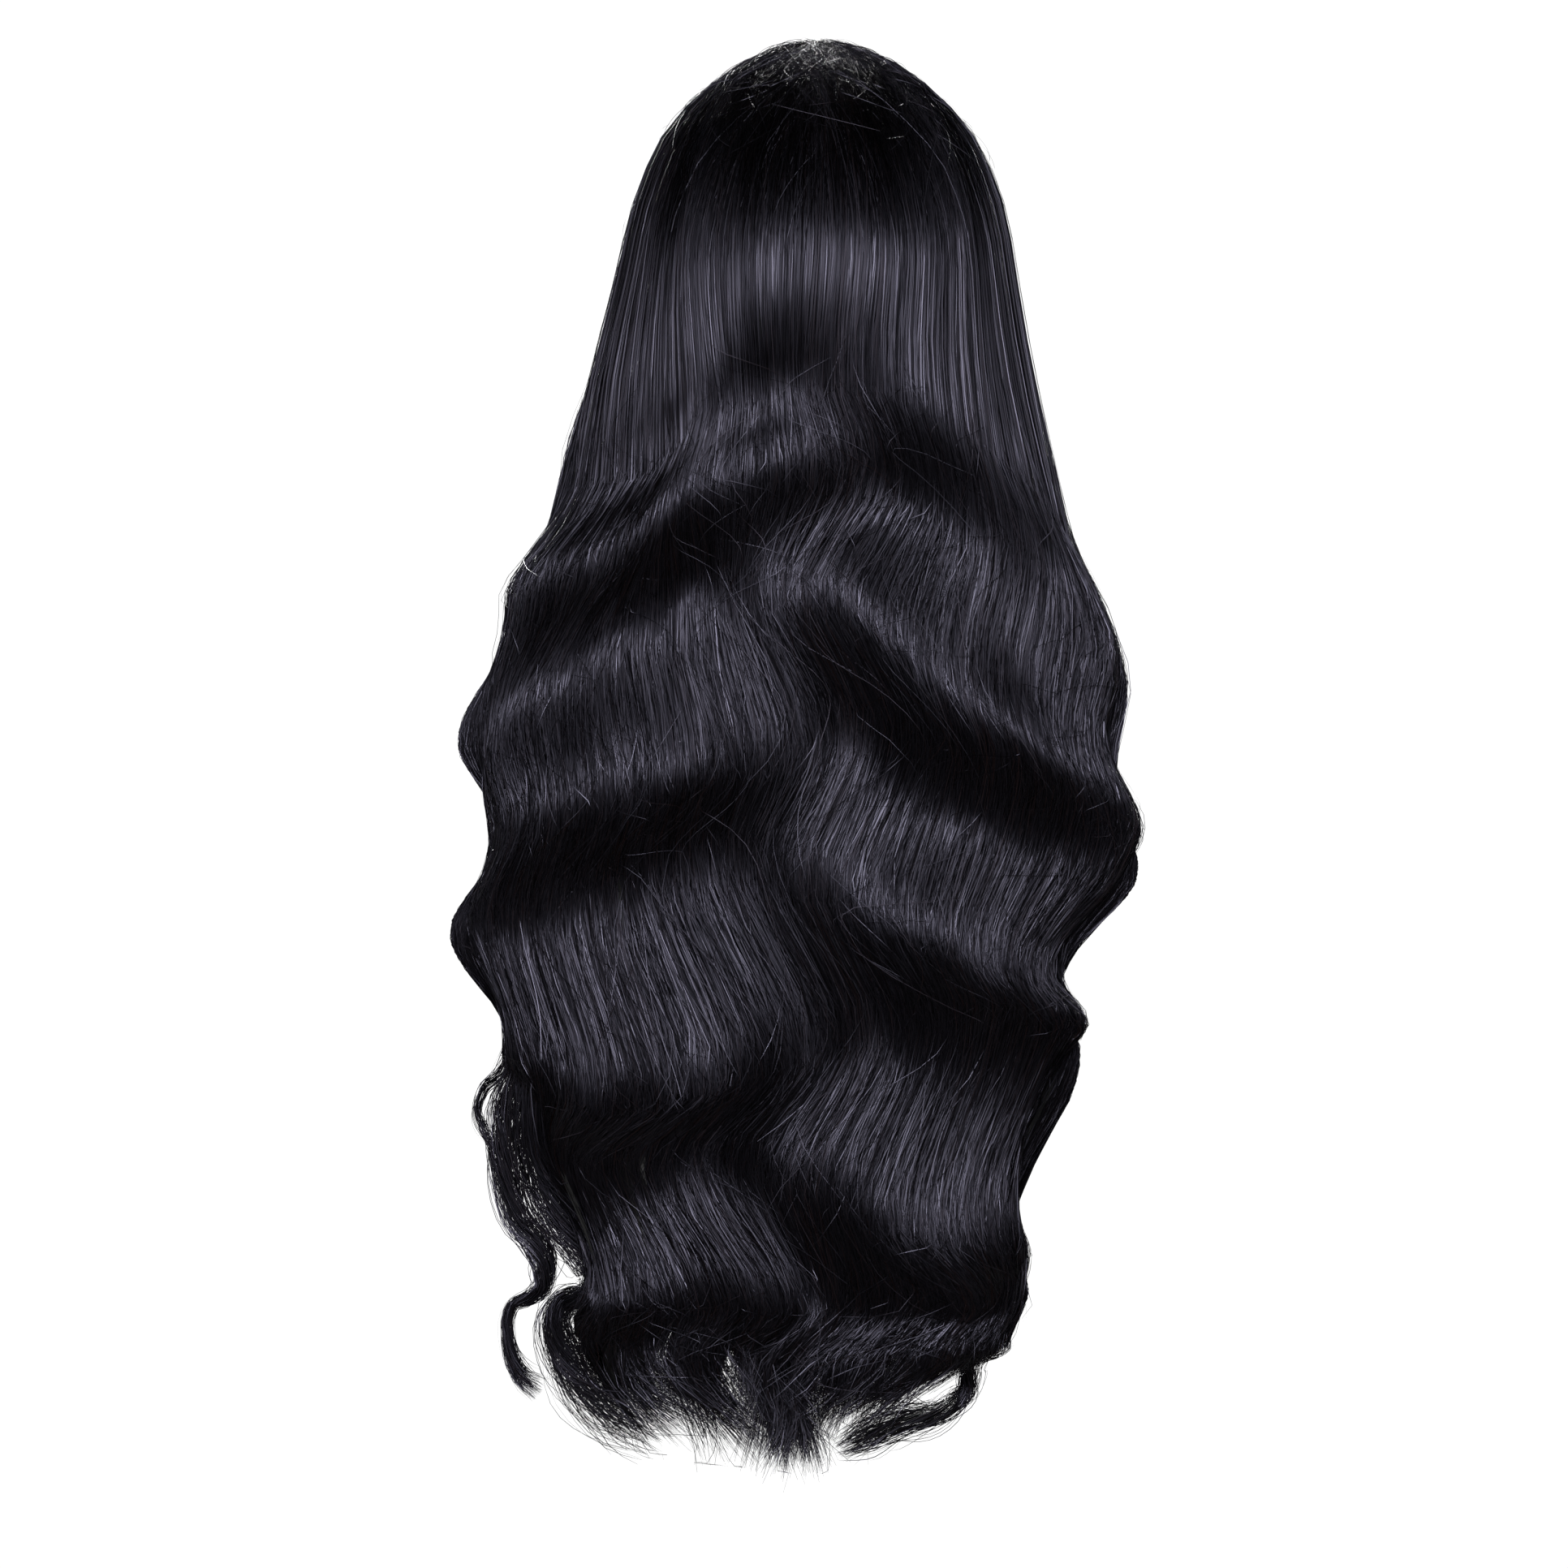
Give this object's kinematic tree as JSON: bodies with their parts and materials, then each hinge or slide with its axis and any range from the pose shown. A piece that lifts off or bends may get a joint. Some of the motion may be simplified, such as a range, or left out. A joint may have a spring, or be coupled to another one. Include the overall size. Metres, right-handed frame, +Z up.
{
  "type": "lace front wig",
  "caption": "Long black body-wave lace front wig with a hollow stretch cap, a lace hairline, a centre parting and waved locks that fall down the back and both sides.",
  "frame": {"origin": "the highest point inside the cap, where the crown of the wearer's head meets it", "axes": "+Z up, -Y the way the face looks, +X to the wearer's left"},
  "size_m": [0.3792, 0.2133, 0.7826],
  "materials": {
    "cap_net": "dark knitted stretch net, matt",
    "lace": "fine brown net lace, matt",
    "elastic": "black ribbed elastic, matt",
    "hair": "glossy natural black hair in body waves"
  },
  "bodies": {
    "root": {"cap": "cap_net", "lace_front": "lace", "nape_band": "elastic", "crown_hair": "hair", "left_side_hair": "hair", "left_back_hair": "hair", "right_back_hair": "hair", "right_side_hair": "hair"}
  },
  "joints": []
}
